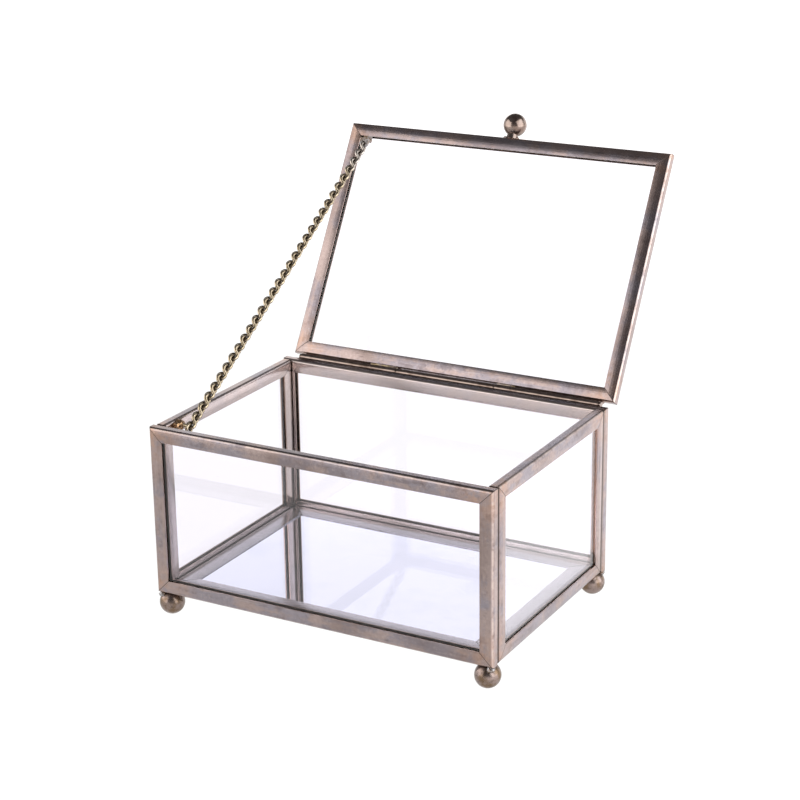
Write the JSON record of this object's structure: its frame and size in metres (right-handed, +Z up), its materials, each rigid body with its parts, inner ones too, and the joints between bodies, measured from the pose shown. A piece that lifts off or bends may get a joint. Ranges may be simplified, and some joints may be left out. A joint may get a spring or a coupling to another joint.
{
  "type": "wedding card box",
  "caption": "Small framed-glass keepsake box with a mirror floor, ball feet and a hinged glass lid that a chain holds open.",
  "frame": {"origin": "middle of the box's footprint, on the plane that the feet stand on", "axes": "+Z up, +X to the right and the front towards -Y; the lid stands open, as it rests"},
  "size_m": [0.1518, 0.1727, 0.1797],
  "materials": {
    "antique_bronze": "satin brown-grey patina with copper patches and bright rubbed edges",
    "chain_brass": "antiqued yellow brass, dark between the links",
    "clear_glass": "clear and polished",
    "mirror": "silvered glass",
    "mirror_back": "matt grey backing paint"
  },
  "bodies": {
    "box": {"front_frame_bottom": "antique_bronze", "front_frame_right": "antique_bronze", "front_frame_top": "antique_bronze", "front_frame_left": "antique_bronze", "front_glass": "clear_glass", "back_frame_bottom": "antique_bronze", "back_frame_right": "antique_bronze", "back_frame_top": "antique_bronze", "back_frame_left": "antique_bronze", "back_glass": "clear_glass", "right_frame_bottom": "antique_bronze", "right_frame_right": "antique_bronze", "right_frame_top": "antique_bronze", "right_frame_left": "antique_bronze", "right_glass": "clear_glass", "left_frame_bottom": "antique_bronze", "left_frame_right": "antique_bronze", "left_frame_top": "antique_bronze", "left_frame_left": "antique_bronze", "left_glass": "clear_glass", "floor_frame_front": "antique_bronze", "floor_frame_right": "antique_bronze", "floor_frame_back": "antique_bronze", "floor_frame_left": "antique_bronze", "floor_backing": "mirror_back", "floor_mirror": "mirror", "foot_front_left": "antique_bronze", "foot_front_right": "antique_bronze", "foot_back_left": "antique_bronze", "foot_back_right": "antique_bronze", "box_knuckle": "antique_bronze", "hinge_pin": "antique_bronze", "box_chain_eye": "antique_bronze"},
    "lid": {"lid_frame_front": "antique_bronze", "lid_frame_right": "antique_bronze", "lid_frame_back": "antique_bronze", "lid_frame_left": "antique_bronze", "lid_glass": "clear_glass", "lid_knuckle_left": "antique_bronze", "lid_knuckle_right": "antique_bronze", "lid_knob": "antique_bronze", "lid_chain_eye": "antique_bronze"},
    "chain_lower_run": {"chain_lower_run": "chain_brass"},
    "chain_lower_end": {"chain_lower_end": "chain_brass"},
    "chain_turn_link": {"chain_turn_link": "chain_brass"},
    "chain_upper_end": {"chain_upper_end": "chain_brass"},
    "chain_upper_run": {"chain_upper_run": "chain_brass"}
  },
  "joints": [
    {"name": "lid_hinge", "type": "hinge", "parent": "box", "child": "lid", "pos_m": [0, 0.054, 0.07885], "axis": [-1, 0, 0], "range_deg": [-120.8, 0]},
    {"name": "chain_lower_swing", "type": "hinge", "parent": "box", "child": "chain_lower_run", "pos_m": [-0.0655, -0.0374, 0.0762], "axis": [0.9946, -0.0543, 0.0888], "range_deg": [-114.1, 0]},
    {"name": "chain_lower_fold", "type": "hinge", "parent": "chain_lower_run", "child": "chain_lower_end", "pos_m": [-0.0655, 0.00904, 0.1046], "axis": [0, -0.5217, 0.8531], "range_deg": [-71.4, 0]},
    {"name": "chain_upper_swing", "type": "hinge", "parent": "lid", "child": "chain_upper_run", "pos_m": [-0.0655, 0.10285, 0.16196], "axis": [0.9923, 0.0645, -0.1054], "range_deg": [-57.5, 0]},
    {"name": "chain_upper_fold", "type": "hinge", "parent": "chain_upper_run", "child": "chain_upper_end", "pos_m": [-0.0655, 0.05881, 0.13503], "axis": [0, 0.5217, -0.8531], "range_deg": [-58.8, 0]},
    {"name": "chain_turn", "type": "hinge", "parent": "chain_upper_end", "child": "chain_turn_link", "pos_m": [-0.0655, 0.03498, 0.12046], "axis": [-1, 0, 0], "range_deg": [-108.5, 0]}
  ],
  "couplings": [
    {"joint": "chain_lower_swing", "follows": "lid_hinge", "ratio": 0.94384},
    {"joint": "chain_lower_fold", "follows": "lid_hinge", "ratio": 0.59069},
    {"joint": "chain_upper_swing", "follows": "lid_hinge", "ratio": 0.47555},
    {"joint": "chain_upper_fold", "follows": "lid_hinge", "ratio": 0.48643},
    {"joint": "chain_turn", "follows": "lid_hinge", "ratio": 0.89746}
  ]
}
